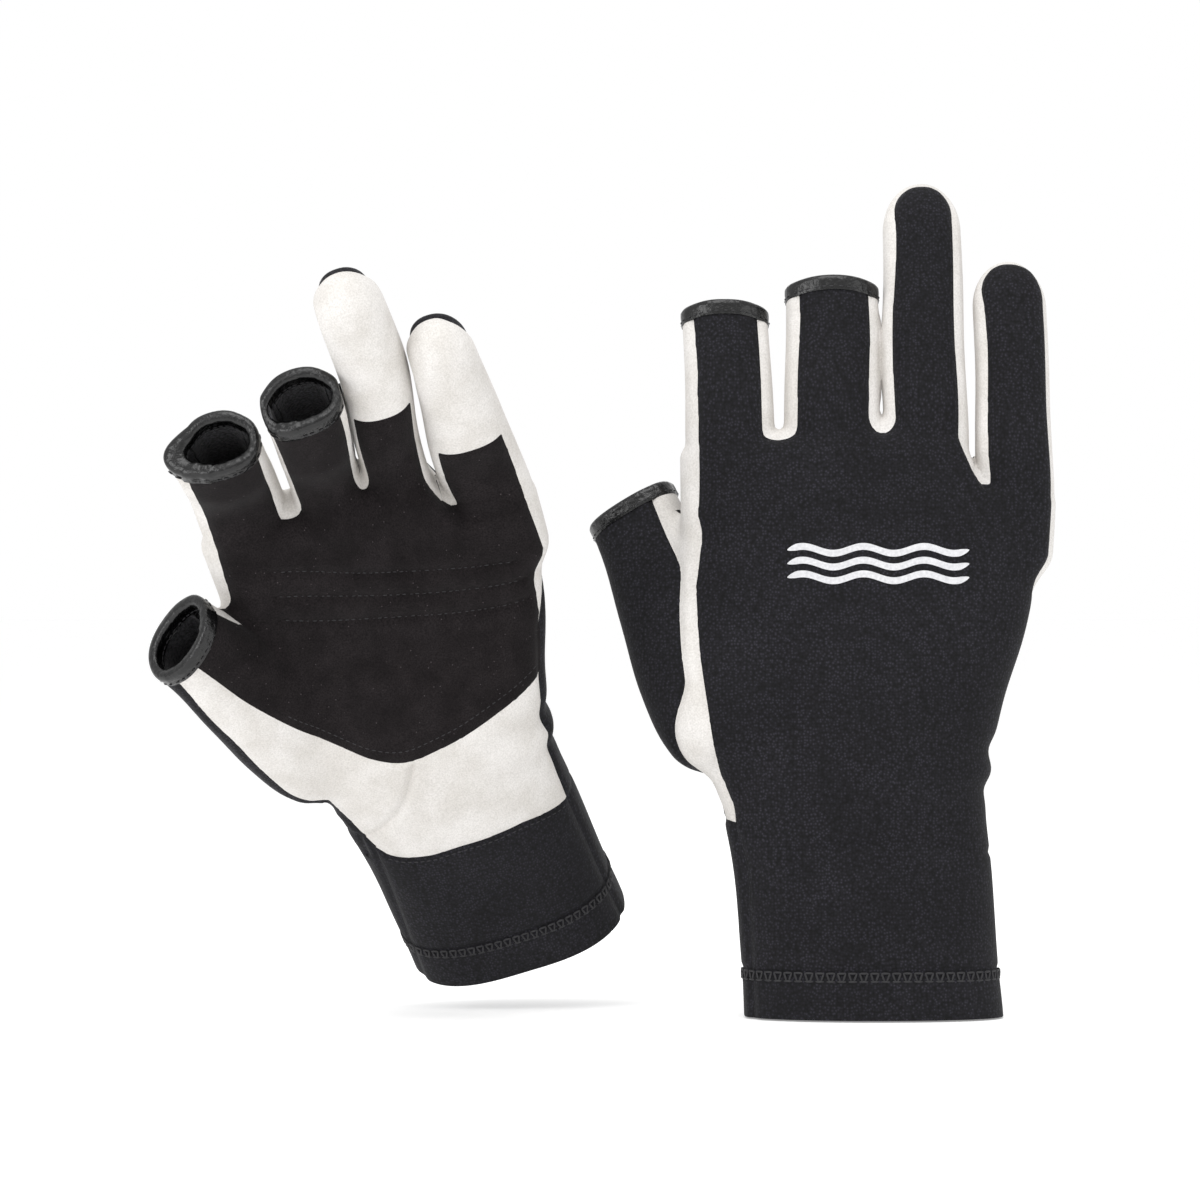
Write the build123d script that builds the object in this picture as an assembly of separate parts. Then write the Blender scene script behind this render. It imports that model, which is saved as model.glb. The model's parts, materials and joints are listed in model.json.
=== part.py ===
from build123d import *
import os

# A pair of sailing gloves, millimetres. One glove is drawn in its own frame and
# placed twice: +Z runs from the cuff to the fingertips, -X is the thumb side,
# -Y the back of the hand, +Y the palm, and the origin is the middle of the cuff's
# mouth. The right glove stands in that frame. The left one is its mirror image,
# filled by a cupped hand, turned and stood beside it.

# Hand sleeve: one row for each section, with its height above the cuff's mouth,
# the place of its middle across the hand, its breadth and its depth.
CUFF_MOUTH = (0, 0, 76, 42)
WRIST = (40, -2, 72, 38)
HEEL = (70, -7, 78, 37)
THUMB_BASE = (100, -6, 92, 37)
WEB = (135, -3, 103, 33)
KNUCKLE_HEIGHT = 171
KNUCKLE_MIDDLE = -1
KNUCKLE_DEPTH = 28
CORNER_SHARE = 0.95          # corner radius of a section, as a share of half its depth

HAND_WALL = 2.4
STALL_WALL = 2.2
PATCH_THICKNESS = 0.9

# Finger stalls: breadth, depth at the root and at the mouth or the tip, length
# above the finger's own knuckle line, and the drop of that line below the others.
INDEX = dict(breadth=27.4, depth=23, end_depth=20, length=36, drop=0)
MIDDLE = dict(breadth=29.2, depth=23, end_depth=20, length=43, drop=0)
RING = dict(breadth=25.6, depth=22, end_depth=20.5, length=74, drop=0)
LITTLE = dict(breadth=22.4, depth=20, end_depth=19, length=64, drop=14)
CLOSED = ("ring", "little")
FINGER_GAP = 1.3             # between two neighbouring stalls
TIP_BREADTH_SHARE = 0.94     # breadth of a closed stall below its tip, to that of its root
TIP_ROUNDING = 10            # length of a closed stall's rounded tip
TIP_SECTIONS = ((1, 1.0), (0.5, 0.87), (0.2, 0.62), (0, 0.28))  # share of it below the tip, share of the size
RING_PATCH = 27              # how far the palm patch climbs the closed fingers
LITTLE_PATCH = 20

# Thumb: its axis runs from a root inside the hand to the middle of its mouth.
THUMB_ROOT = (-39, -1.5, 93)
THUMB_MOUTH = (-71, 17, 150)
THUMB_ACROSS = (0.85, -0.15, 0.50)
THUMB_ROOT_SIZE = (39, 32)
THUMB_HINGE_SIZE = (31, 25)
THUMB_MOUTH_SIZE = (27, 20)
THUMB_STALL_LENGTH = 26

# Seams between the panels
HAND_SEAM = 8                # side seams, either side of the middle of the hand's depth
STALL_SEAM = 6               # the same on the fingers
HEEL_SEAM_HEIGHT = 54        # where the black cuff front meets the white heel
ULNAR_STRIP_HEIGHT = 108     # lower end of the white strip on the little finger's side

# Palm patch: its lower edge falls from both sides of the hand to a rounded point.
PATCH_POINT = (-23, 85)
PATCH_ULNAR_BEND = (12, 93)
PATCH_ULNAR_EDGE = (60, 104)
PATCH_THUMB_EDGE = (-60, 126)
PATCH_POINT_RADIUS = 14

HEM_HEIGHT = 14
HEM_PROUD = 0.6
HEM_FOLD = 1.4               # extra thickness of the hem inside the cuff
BINDING_HEIGHT = 4
BINDING_THICKNESS = 0.9
THREAD_HEIGHT = 0.35
THREAD_WIDTH = 0.8
QUILT_ROWS = 3
QUILT_SPACING = 8
QUILT_SLOPE = 17             # degrees; the rows fall towards the little finger
QUILT_MIDDLE = (0, 143)
QUILT_LENGTH = 76

# Knuckles: each stall turns about a line just outside its palm side.
HINGE_PROUD = 0.3
STALL_ABOVE_HINGE = 0.5
HAND_BELOW_HINGE = 0.6
THUMB_CLEARANCE = 0.6        # between the thumb's stall and the side of the hand

# How each glove is filled and stood at rest. The shares are of the breadth and the
# depth above, the curls of the fingers and the turns of the glove are in degrees.
RIGHT_HAND = dict(breadth=1, depth=1,
                  curl=dict(index=8, middle=8, ring=8, little=8, thumb=0))
LEFT_HAND = dict(breadth=0.87, depth=1.08,
                 curl=dict(index=26, middle=24, ring=10, little=11, thumb=0))
LEFT_PLACE = (-105, 40, 23.2)
LEFT_YAW = -2                # little finger's side turned forwards
LEFT_PITCH = 35              # fingertips tipped forwards
LEFT_LEAN = -18              # fingertips tipped sideways, away from the right glove

FAR = 400                    # reach of a cutting block past everything it cuts
OVERRUN = 1                  # how far a cavity is cut past an open end

HAND_TOP = KNUCKLE_HEIGHT - HAND_BELOW_HINGE
LITTLE_TOP = HAND_TOP - LITTLE["drop"]


def block(x_low=-FAR, x_high=FAR, y_low=-FAR, y_high=FAR, z_low=-FAR, z_high=FAR):
    """A box given by its faces; a face that isn't given lies far away."""
    size = (x_high - x_low, y_high - y_low, z_high - z_low)
    middle = ((x_low + x_high) / 2, (y_low + y_high) / 2, (z_low + z_high) / 2)
    return Pos(*middle) * Box(*size)


def oval(breadth, depth, grow):
    """A rounded section, grown outwards, or inwards where grow is negative."""
    radius = CORNER_SHARE * min(breadth, depth) / 2 + grow
    return RectangleRounded(breadth + 2 * grow, depth + 2 * grow, radius)


def sleeve(rows, grow=0.0, below=0.0, above=0.0):
    """A solid through the sections, straight on past its first and last ones."""
    rows = list(rows)
    if below:
        rows.insert(0, (rows[0][0] - below, *rows[0][1:]))
    if above:
        rows.append((rows[-1][0] + above, *rows[-1][1:]))
    sections = [Pos(middle, 0, height) * oval(breadth, depth, grow)
                for height, middle, breadth, depth in rows]
    return loft(sections, ruled=True)


def open_stall(rows):
    """Wall of a stall that is open at its end, and the binding round its mouth."""
    wall = sleeve(rows) - sleeve(rows, -STALL_WALL, OVERRUN, OVERRUN)
    height, *mouth = rows[-1]
    rim = [(height - BINDING_HEIGHT, *mouth), (height + BINDING_THICKNESS, *mouth)]
    hole = sleeve(rim, -STALL_WALL - BINDING_THICKNESS, OVERRUN, OVERRUN)
    return wall, sleeve(rim, BINDING_THICKNESS) - hole - wall


def closed_stall(root, tip):
    """Wall of a stall with a rounded tip."""
    top, middle, breadth, depth = tip
    outside = [root] + [(top - TIP_ROUNDING * down, middle, breadth * share, depth * share)
                        for down, share in TIP_SECTIONS]
    inside = [(height - (STALL_WALL if row else 0), at, wide - 2 * STALL_WALL * share,
               deep - 2 * STALL_WALL * share)
              for row, (height, at, wide, deep), share
              in zip(range(5), outside, [1] + [share for _, share in TIP_SECTIONS])]
    return sleeve(outside) - sleeve(inside, 0, OVERRUN)


def split_stall(wall):
    """Back, palm and side panels of a stall's wall."""
    back = wall & block(y_high=-STALL_SEAM)
    palm = wall & block(y_low=STALL_SEAM)
    sides = wall & block(y_low=-STALL_SEAM, y_high=STALL_SEAM)
    return back, palm, sides


class Glove:
    """One glove in its own frame, shaped by the hand that fills it."""

    def __init__(self, hand):
        self.wide, self.deep, self.curl = hand["breadth"], hand["depth"], hand["curl"]
        self.fingers = {}
        for name, finger in dict(index=INDEX, middle=MIDDLE, ring=RING, little=LITTLE).items():
            self.fingers[name] = dict(finger, breadth=finger["breadth"] * self.wide,
                                      depth=finger["depth"] * self.deep,
                                      end_depth=finger["end_depth"] * self.deep)
        breadth = sum(f["breadth"] for f in self.fingers.values()) + 3 * FINGER_GAP
        edge = KNUCKLE_MIDDLE * self.wide - breadth / 2
        for finger in self.fingers.values():
            finger["middle"] = edge + finger["breadth"] / 2
            edge += finger["breadth"] + FINGER_GAP
        self.hand = [(height, middle * self.wide, wide * self.wide, deep * self.deep)
                     for height, middle, wide, deep in (CUFF_MOUTH, WRIST, HEEL, THUMB_BASE, WEB)]
        self.hand.append((KNUCKLE_HEIGHT, KNUCKLE_MIDDLE * self.wide, breadth,
                          KNUCKLE_DEPTH * self.deep))
        little = self.fingers["little"]
        self.step = little["middle"] - (little["breadth"] + FINGER_GAP) / 2
        self.outer = sleeve(self.hand)
        self.cavity = self.hand_inset(HAND_WALL)
        self.thumb_plane()

    def hand_inset(self, depth):
        """The hand's outer shape less a layer all round, open at both ends."""
        return sleeve(self.hand, -depth, OVERRUN, OVERRUN)

    def fit(self, x, y, z):
        """A point of the drawn hand, where the hand that fills the glove puts it."""
        return Vector(x * self.wide, y * self.deep, z)

    def thumb_plane(self):
        """Frame of the thumb's hinge: across the thumb, out of its pad, along it."""
        root, mouth, across = self.fit(*THUMB_ROOT), self.fit(*THUMB_MOUTH), Vector(THUMB_ACROSS)
        axis = (mouth - root).normalized()
        self.thumb = Plane(mouth - axis * THUMB_STALL_LENGTH,
                           x_dir=across - axis * across.dot(axis), z_dir=axis)
        self.thumb_reach = (mouth - root).length - THUMB_STALL_LENGTH

    def thumb_row(self, height, size):
        return (height, 0, size[0] * self.wide, size[1] * self.deep)

    def finger_panels(self, name):
        """The named panels of one finger, straight, above its own knuckle line."""
        finger = self.fingers[name]
        root = (STALL_ABOVE_HINGE, 0, finger["breadth"], finger["depth"])
        length, end_depth = finger["length"], finger["end_depth"]
        if name not in CLOSED:
            mouth = (0, finger["breadth"], end_depth)
            wall, binding = open_stall([root, (length - BINDING_HEIGHT - OVERRUN, *mouth),
                                        (length, *mouth)])
            back, palm, sides = split_stall(wall)
            return dict(back=back, palm=palm, sides=sides, binding=binding)
        tip = (length, 0, finger["breadth"] * TIP_BREADTH_SHARE, end_depth)
        back, palm, sides = split_stall(closed_stall(root, tip))
        climb = RING_PATCH if name == "ring" else LITTLE_PATCH
        return dict(back=back, sides=sides, patch=palm & block(z_high=climb),
                    tip=palm & block(z_low=climb))

    def thumb_panels(self):
        """The named panels of the thumb's stall, clear of the side of the hand."""
        mouth_start = THUMB_STALL_LENGTH - BINDING_HEIGHT - OVERRUN
        wall, binding = open_stall([self.thumb_row(STALL_ABOVE_HINGE, THUMB_HINGE_SIZE),
                                    self.thumb_row(mouth_start, THUMB_MOUTH_SIZE),
                                    self.thumb_row(THUMB_STALL_LENGTH, THUMB_MOUTH_SIZE)])
        back, palm, sides = split_stall(wall)
        beside_hand = sleeve(self.hand, THUMB_CLEARANCE)
        panels = dict(back=back, palm=palm, sides=sides, binding=binding)
        return {name: self.thumb * panel - beside_hand for name, panel in panels.items()}

    def hinge_axis(self, name):
        """Line that a stall turns about; a positive turn curls it into the palm."""
        if name == "thumb":
            reach = THUMB_HINGE_SIZE[1] * self.deep / 2 + HINGE_PROUD
            return Axis(self.thumb.origin + self.thumb.y_dir * reach, self.thumb.x_dir * -1)
        finger = self.fingers[name]
        place = (finger["middle"], finger["depth"] / 2 + HINGE_PROUD,
                 KNUCKLE_HEIGHT - finger["drop"])
        return Axis(place, (-1, 0, 0))

    def hand_panels(self):
        """The named panels of the hand, the cuff and the thumb's root."""
        root = [self.thumb_row(-self.thumb_reach, THUMB_ROOT_SIZE),
                self.thumb_row(-HAND_BELOW_HINGE, THUMB_HINGE_SIZE)]
        thumb_outer = self.thumb * sleeve(root)
        thumb_cavity = self.thumb * sleeve(root, -STALL_WALL, 0, OVERRUN)
        top = block(z_low=HAND_TOP) + block(x_low=self.step, z_low=LITTLE_TOP)
        shell = self.outer - self.cavity - thumb_cavity - top

        above_hem = block(z_low=HEM_HEIGHT)
        under_ulnar = block(x_low=0, y_low=-HAND_SEAM, y_high=HAND_SEAM,
                            z_high=ULNAR_STRIP_HEIGHT)
        back = shell & (block(y_high=-HAND_SEAM) + under_ulnar) & above_hem
        palm_side = block(y_low=HAND_SEAM, z_low=HEEL_SEAM_HEIGHT)
        skin = (self.outer - self.hand_inset(PATCH_THICKNESS)) & self.patch_prism()
        patch = (skin - thumb_cavity - top) & palm_side
        below_heel = block(y_low=HAND_SEAM, z_low=HEM_HEIGHT, z_high=HEEL_SEAM_HEIGHT)
        below_radial = block(x_high=0, y_low=-HAND_SEAM, y_high=HAND_SEAM, z_low=HEM_HEIGHT,
                             z_high=HEEL_SEAM_HEIGHT)
        radial = block(x_high=0, y_low=-HAND_SEAM, y_high=HAND_SEAM, z_low=HEEL_SEAM_HEIGHT)
        ulnar = block(x_low=0, y_low=-HAND_SEAM, y_high=HAND_SEAM, z_low=ULNAR_STRIP_HEIGHT)
        hem = sleeve(self.hand, HEM_PROUD) - self.hand_inset(HAND_WALL + HEM_FOLD)
        return dict(back_panel=back, palm_panel=(shell & palm_side) - skin, palm_patch=patch,
                    cuff_front=shell & (below_heel + below_radial), hem=hem & block(z_high=HEM_HEIGHT),
                    radial_strip=shell & radial, ulnar_strip=shell & ulnar,
                    thumb_gusset=thumb_outer - thumb_cavity - self.outer,
                    crotch_gussets=self.crotch_gussets(), stitching=self.stitching())

    def patch_prism(self):
        """Prism through the palm whose lower edge is the patch's lower edge."""
        top = KNUCKLE_HEIGHT + OVERRUN
        edge = [PATCH_THUMB_EDGE, PATCH_POINT, PATCH_ULNAR_BEND, PATCH_ULNAR_EDGE]
        edge = [(x * self.wide, z) for x, z in edge]
        corners = [(-FAR, top), (-FAR, PATCH_THUMB_EDGE[1]), *edge, (FAR, PATCH_ULNAR_EDGE[1]),
                   (FAR, top)]
        outline = FilletPolyline(*corners, radius=PATCH_POINT_RADIUS, close=False)
        face = make_face(Plane.XZ * (outline + Line(corners[-1], corners[0])))
        return extrude(face, FAR, both=True) & block(y_low=HAND_SEAM)

    def crotch_gussets(self):
        """Bridges inside the hand's top edge, under the gaps between the fingers."""
        bridges = []
        for left in ("index", "middle"):
            finger = self.fingers[left]
            gap = finger["middle"] + finger["breadth"] / 2
            bridges.append(block(x_low=gap - STALL_WALL, x_high=gap + FINGER_GAP + STALL_WALL,
                                 z_low=HAND_TOP - HAND_WALL, z_high=HAND_TOP))
        foot = LITTLE_TOP - HAND_WALL
        bridges.append(block(x_low=self.step - STALL_WALL, x_high=self.step, z_low=foot,
                             z_high=HAND_TOP)
                       + block(x_low=self.step, x_high=self.step + STALL_WALL, z_low=foot,
                               z_high=LITTLE_TOP))
        return Compound(children=[solid for bridge in bridges
                                  for solid in (bridge & self.cavity).solids()])

    def stitching(self):
        """Raised thread: the rows across the palm patch, and the row round the hem."""
        palm = (sleeve(self.hand, THREAD_HEIGHT) - self.outer) & block(y_low=HAND_SEAM)
        threads = []
        for row in range(QUILT_ROWS):
            shift = (row - (QUILT_ROWS - 1) / 2) * QUILT_SPACING
            place = Pos(QUILT_MIDDLE[0], 0, QUILT_MIDDLE[1] + shift) * Rot(0, QUILT_SLOPE, 0)
            strip = Box(QUILT_LENGTH * self.wide, FAR, THREAD_WIDTH)
            threads += (palm & place * strip).solids()
        hem = sleeve(self.hand, HEM_PROUD + THREAD_HEIGHT) - sleeve(self.hand, HEM_PROUD)
        top = HEM_HEIGHT - THREAD_WIDTH
        threads += (hem & block(z_low=top - THREAD_WIDTH, z_high=top)).solids()
        return Compound(children=threads)

    def panels(self):
        """Every panel by name, with the fingers curled."""
        panels = self.hand_panels()
        for name, finger in self.fingers.items():
            place = Pos(finger["middle"], 0, KNUCKLE_HEIGHT - finger["drop"])
            for piece, solid in self.finger_panels(name).items():
                curled = (place * solid).rotate(self.hinge_axis(name), self.curl[name])
                panels[f"{name}_{piece}"] = curled
        for piece, solid in self.thumb_panels().items():
            panels[f"thumb_{piece}"] = solid.rotate(self.hinge_axis("thumb"), self.curl["thumb"])
        return panels


LEFT_STAND = Pos(*LEFT_PLACE) * Rot(0, LEFT_LEAN, 0) * Rot(LEFT_PITCH, 0, 0) * Rot(0, 0, LEFT_YAW)
RIGHT = Glove(RIGHT_HAND)
LEFT = Glove(LEFT_HAND)

os.makedirs("parts", exist_ok=True)
for piece, solid in RIGHT.panels().items():
    export_step(solid, f"parts/right_{piece}.step")
for piece, solid in LEFT.panels().items():
    export_step(LEFT_STAND * mirror(solid, about=Plane.XZ), f"parts/left_{piece}.step")
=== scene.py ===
import json
import math

import bpy
import numpy as np
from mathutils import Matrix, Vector


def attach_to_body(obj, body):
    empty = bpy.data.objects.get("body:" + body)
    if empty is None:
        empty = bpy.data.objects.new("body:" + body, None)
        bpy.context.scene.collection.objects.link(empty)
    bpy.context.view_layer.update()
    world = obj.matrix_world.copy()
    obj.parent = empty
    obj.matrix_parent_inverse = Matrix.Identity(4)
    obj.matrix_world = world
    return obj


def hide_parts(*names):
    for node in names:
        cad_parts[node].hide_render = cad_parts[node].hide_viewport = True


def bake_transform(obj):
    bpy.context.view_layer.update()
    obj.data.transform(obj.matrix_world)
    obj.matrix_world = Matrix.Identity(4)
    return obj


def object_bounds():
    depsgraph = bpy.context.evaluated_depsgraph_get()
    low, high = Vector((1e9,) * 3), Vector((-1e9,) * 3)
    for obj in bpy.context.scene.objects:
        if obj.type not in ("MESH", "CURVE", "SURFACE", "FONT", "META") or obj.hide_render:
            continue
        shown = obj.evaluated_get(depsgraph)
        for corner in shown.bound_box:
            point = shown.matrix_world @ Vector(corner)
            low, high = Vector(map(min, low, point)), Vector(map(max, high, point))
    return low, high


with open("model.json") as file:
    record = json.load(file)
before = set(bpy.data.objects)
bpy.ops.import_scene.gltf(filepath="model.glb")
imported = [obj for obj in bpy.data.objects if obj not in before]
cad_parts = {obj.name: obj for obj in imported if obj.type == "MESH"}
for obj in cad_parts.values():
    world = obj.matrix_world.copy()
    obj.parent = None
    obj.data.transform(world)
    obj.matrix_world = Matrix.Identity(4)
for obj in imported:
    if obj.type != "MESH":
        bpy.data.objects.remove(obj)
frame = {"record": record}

cad_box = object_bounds()
MM = 0.001

# ---------------------------------------------------------------------------------------------
# Studio: a white paper floor in a white room, one broad soft light above and weaker ones round
# it, and a camera level with the middle of the pair. The paper is matt, with no gloss, and its
# faint glow, which lights nothing else, keeps it as white as the room behind.
# ---------------------------------------------------------------------------------------------
CAMERA = (-0.0806, -1.5, 0.1222)
VIEW_WIDTH = 0.353
SENSOR = 36.0
FLOOR_SIZE = 60
FLOOR_DROP = 0.0005
LIGHTS_AIM = (-0.06, 0, 0.12)
LIGHTS = [
    ("softbox_above", (-0.1, -0.55, 1.3), 0.9, 8), ("softbox_left", (-1.1, -1.0, 0.6), 0.7, 6),
    ("softbox_right", (1.1, -0.9, 0.5), 0.7, 2), ("softbox_behind", (0.0, 1.2, 0.8), 0.8, 3),
]


def linear(hex_code):
    channels = [int(hex_code[i : i + 2], 16) / 255 for i in (1, 3, 5)]
    lit = [c / 12.92 if c <= 0.04045 else ((c + 0.055) / 1.055) ** 2.4 for c in channels]
    return (*lit, 1.0)


def add(owner, kind, links=None, stops=(), **settings):
    """Add a node, set its values and colour stops, and link its inputs to other nodes' outputs."""
    node = owner.node_tree.nodes.new(kind)
    for name, value in settings.items():
        if name in node.inputs:
            node.inputs[name].default_value = value
        else:
            setattr(node, name, value)
    if stops:
        elements = node.color_ramp.elements
        while len(elements) < len(stops):
            elements.new(0.5)
        for element, (place, hex_code) in zip(elements, stops):
            element.position, element.color = place, linear(hex_code)
    for name, source in (links or {}).items():
        owner.node_tree.links.new(source, node.inputs[name])
    return node


def new_material(name):
    material = bpy.data.materials.new(name)
    material.use_nodes = True
    material.node_tree.nodes.clear()
    return material


backdrop = new_material("matt_paper_sweep")
paper = add(
    backdrop, "ShaderNodeBsdfPrincipled",
    **{
        "Base Color": linear("#f4f4f4"), "Roughness": 0.9,
        "Emission Color": (1, 1, 1, 1), "Emission Strength": 0.27,
    },
)
add(backdrop, "ShaderNodeOutputMaterial", {"Surface": paper.outputs[0]})
backdrop.cycles.emission_sampling = "NONE"

bpy.ops.object.select_all(action="DESELECT")
bpy.ops.mesh.primitive_plane_add(size=FLOOR_SIZE, location=(0, 0, cad_box[0][2] - FLOOR_DROP))
floor = bpy.context.object
floor.name = "floor"
floor.data.materials.append(backdrop)

world = bpy.data.worlds.new("soft_white_room")
bpy.context.scene.world = world
world.use_nodes = True
world.node_tree.nodes.clear()
fill = add(world, "ShaderNodeBackground", Color=(1, 1, 1, 1), Strength=0.8)
seen_room = add(world, "ShaderNodeBackground", Color=(1, 1, 1, 1), Strength=1.0)
ray = add(world, "ShaderNodeLightPath")
room = add(
    world, "ShaderNodeMixShader",
    {0: ray.outputs["Is Camera Ray"], 1: fill.outputs[0], 2: seen_room.outputs[0]},
)
add(world, "ShaderNodeOutputWorld", {"Surface": room.outputs[0]})
bpy.context.scene.view_settings.view_transform = "Standard"

for name, spot, size, power in LIGHTS:
    bpy.ops.object.light_add(type="AREA", location=spot)
    light = bpy.context.object
    light.name = name
    light.data.size = size
    light.data.energy = power
    light.rotation_euler = (Vector(LIGHTS_AIM) - Vector(spot)).to_track_quat("-Z", "Y").to_euler()

bpy.ops.object.camera_add(location=CAMERA, rotation=(math.radians(90), 0, 0))
camera = bpy.context.object
camera.data.sensor_width = SENSOR
camera.data.lens = SENSOR * -CAMERA[1] / VIEW_WIDTH
bpy.context.scene.camera = camera

# ---------------------------------------------------------------------------------------------
# The glove's shell, one size for both hands. A hand form is blended from tubes (hand, four
# fingers, thumb), each a list of (height, middle, half breadth, half depth) stations in mm, with
# the cuff down, the thumb to -X, the back of the hand to -Y and the palm to +Y.
# ---------------------------------------------------------------------------------------------
HAND_STATIONS = [
    (-8, 0, 38.2, 20.6), (0, 0, 38.0, 20.4), (14, -1, 37.2, 19.6), (34, -2.7, 37.3, 18.6),
    (48, -4.2, 38.2, 18.2), (63, -6.8, 39.4, 18.2), (78, -7.5, 42.5, 18.6), (93, -7.3, 45.7, 18.6),
    (107, -6, 48.5, 17.8), (122, -5.3, 51.2, 16.4), (137, -3.9, 52.7, 15.2), (151, -2.6, 53.7, 13.8),
    (166, -1.8, 54.0, 12.2), (175, -1.5, 54.0, 11.4),
]
FINGER_STATIONS = {
    "index": [
        (140, -41.6, 12.6, 10.5), (171, -42.2, 13.3, 11.0), (207, -43.9, 12.6, 8.2), (216, -44.2, 12.6, 8.0),
    ],
    "middle": [
        (140, -12.6, 13.4, 10.5), (171, -12.6, 14.0, 11.0), (214, -12.1, 13.5, 8.3), (223, -12.0, 13.5, 8.1),
    ],
    "ring": [
        (140, 15.6, 12.0, 10.2), (171, 15.4, 12.4, 10.6), (232, 14.4, 11.6, 9.8), (245, 14.2, 11.4, 9.6),
    ],
    "little": [
        (128, 41.0, 11.0, 9.4), (157, 41.6, 11.6, 9.8), (208, 40.4, 10.8, 9.2), (221, 40.0, 10.6, 9.0),
    ],
}
# where each stall's form ends, and the length over which it rounds off
FINGERTIP = {"index": (220, 4), "middle": (227, 4), "ring": (245, 15), "little": (221, 13.5)}
THUMB_STATIONS = [
    (-62, -3, 20, 15), (-50, -3.5, 22, 16), (-40, -3.6, 23, 16.3), (-20, -3.6, 20.6, 14.8),
    (0, -2.8, 17, 12.6), (14, -1.2, 14.4, 10.8), (26, -0.3, 13.4, 9.4), (36, -0.3, 13.4, 9.3),
]
THUMB_ROOT = np.array([-39.0, -1.5, 93.0])
THUMB_MOUTH = np.array([-71.0, 17.0, 150.0])
THUMB_STALL = 26.0
KNUCKLES = 171.0
LITTLE_KNUCKLE = 158.0
# the lines between index, middle, ring and little finger
INDEX_EDGE, MIDDLE_EDGE, RING_EDGE = -27.2, 1.7, 29.3
# the power of a section's outline: 2 is an ellipse, more is squarer
SQUARENESS = 2.35

thumb_along = (THUMB_MOUTH - THUMB_ROOT) / np.linalg.norm(THUMB_MOUTH - THUMB_ROOT)
thumb_across = np.array([0.85, -0.15, 0.50])
thumb_across = thumb_across - thumb_along * (thumb_across @ thumb_along)
thumb_across /= np.linalg.norm(thumb_across)
thumb_palmward = np.cross(thumb_along, thumb_across)
thumb_hinge = THUMB_MOUTH - THUMB_STALL * thumb_along


def smooth_stations(stations, passes):
    """Stations every 2 mm, eased so that no kink shows between the measured ones."""
    table = np.array(stations, float)
    height = np.arange(table[0, 0], table[-1, 0] + 0.01, 2.0)
    fine = np.stack([height] + [np.interp(height, table[:, 0], table[:, k]) for k in (1, 2, 3)], 1)
    for _ in range(passes):
        fine[1:-1, 1:] = (fine[:-2, 1:] + 2 * fine[1:-1, 1:] + fine[2:, 1:]) / 4
    return fine


hand_form = smooth_stations(HAND_STATIONS, 14)
finger_form = {name: smooth_stations(rows, 6) for name, rows in FINGER_STATIONS.items()}
thumb_form = smooth_stations(THUMB_STATIONS, 8)


def ease(t):
    t = np.clip(t, 0, 1)
    return t * t * (3 - 2 * t)


def tube(form, x, y, z, low, low_round, top, top_round):
    """Distance-like field of a tube with a rounded top and bottom: negative inside."""
    middle, half, deep = (np.interp(z, form[:, 0], form[:, k]) for k in (1, 2, 3))
    across = x - middle
    round_section = (np.abs(across) / half) ** SQUARENESS + (np.abs(y) / deep) ** SQUARENESS
    round_section = round_section ** (2 / SQUARENESS)
    above = np.maximum(z - (top - top_round), 0)
    below = np.maximum(low + low_round - z, 0)
    level = np.sqrt(round_section + (above / top_round) ** 2 + (below / low_round) ** 2) + 1e-9
    reach = np.sqrt(across**2 + y**2 + above**2 + below**2) + 1e-9
    return reach * (1 - 1 / level)


def fillet(a, b, width):
    """Two fields joined, with the corner between them filled in."""
    h = np.maximum(width - np.abs(a - b), 0) / width
    return np.minimum(a, b) - h * h * width / 4


def in_thumb(x, y, z):
    """Places across, palmward and along the thumb, from its hinge."""
    p = np.stack([x, y, z], -1) - thumb_hinge
    return p @ thumb_across, p @ thumb_palmward, p @ thumb_along


def thumb_field(x, y, z):
    a, b, c = in_thumb(x, y, z)
    return tube(thumb_form, a, b, c, -62, 16, 38, 3)


def hand_field(x, y, z):
    top = 173 - 14 * ease((x - 23) / 10)
    fingers = None
    for name, form in finger_form.items():
        stall = tube(form, x, y, z, form[0, 0], 8, *FINGERTIP[name])
        fingers = stall if fingers is None else fillet(fingers, stall, 1.6)
    return fillet(tube(hand_form, x, y, z, -12, 4, top, 9), fingers, 5.0)


def folds(x, y, z):
    """Slack cloth: broad dents everywhere, and creases at the wrist on the little finger's side."""
    broad = 0.45 * np.sin(x / 13.0 + 1.3) * np.sin(z / 17.0 + 0.4 + y / 21.0)
    broad += 0.3 * np.sin(x / 7.0 + z / 9.5 + 2.1) * np.sin(y / 8.0 + z / 23.0)
    wrist = ease((x - 2) / 30) * (
        1.3 * np.exp(-(((z - 79 + 0.16 * (x - 30)) / 4.0) ** 2))
        + 0.8 * np.exp(-(((z - 67 + 0.2 * (x - 30)) / 3.2) ** 2))
        - 0.8 * np.exp(-(((z - 73 + 0.18 * (x - 30)) / 3.6) ** 2))
    )
    thumb_side = 0.8 * ease((-x - 22) / 18) * np.exp(-(((z - 62 - 0.25 * (x + 40)) / 4.5) ** 2))
    return broad + wrist + thumb_side


def shell_field(x, y, z):
    return fillet(hand_field(x, y, z), thumb_field(x, y, z), 5.0) + folds(x, y, z)


def slope_of(field, points, step=0.25):
    """Which way, and how steeply, a field rises at each point."""
    out = np.zeros_like(points)
    for k in range(3):
        shift = np.zeros(3)
        shift[k] = step
        out[:, k] = (field(*(points + shift).T) - field(*(points - shift).T)) / (2 * step)
    return out


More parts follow.
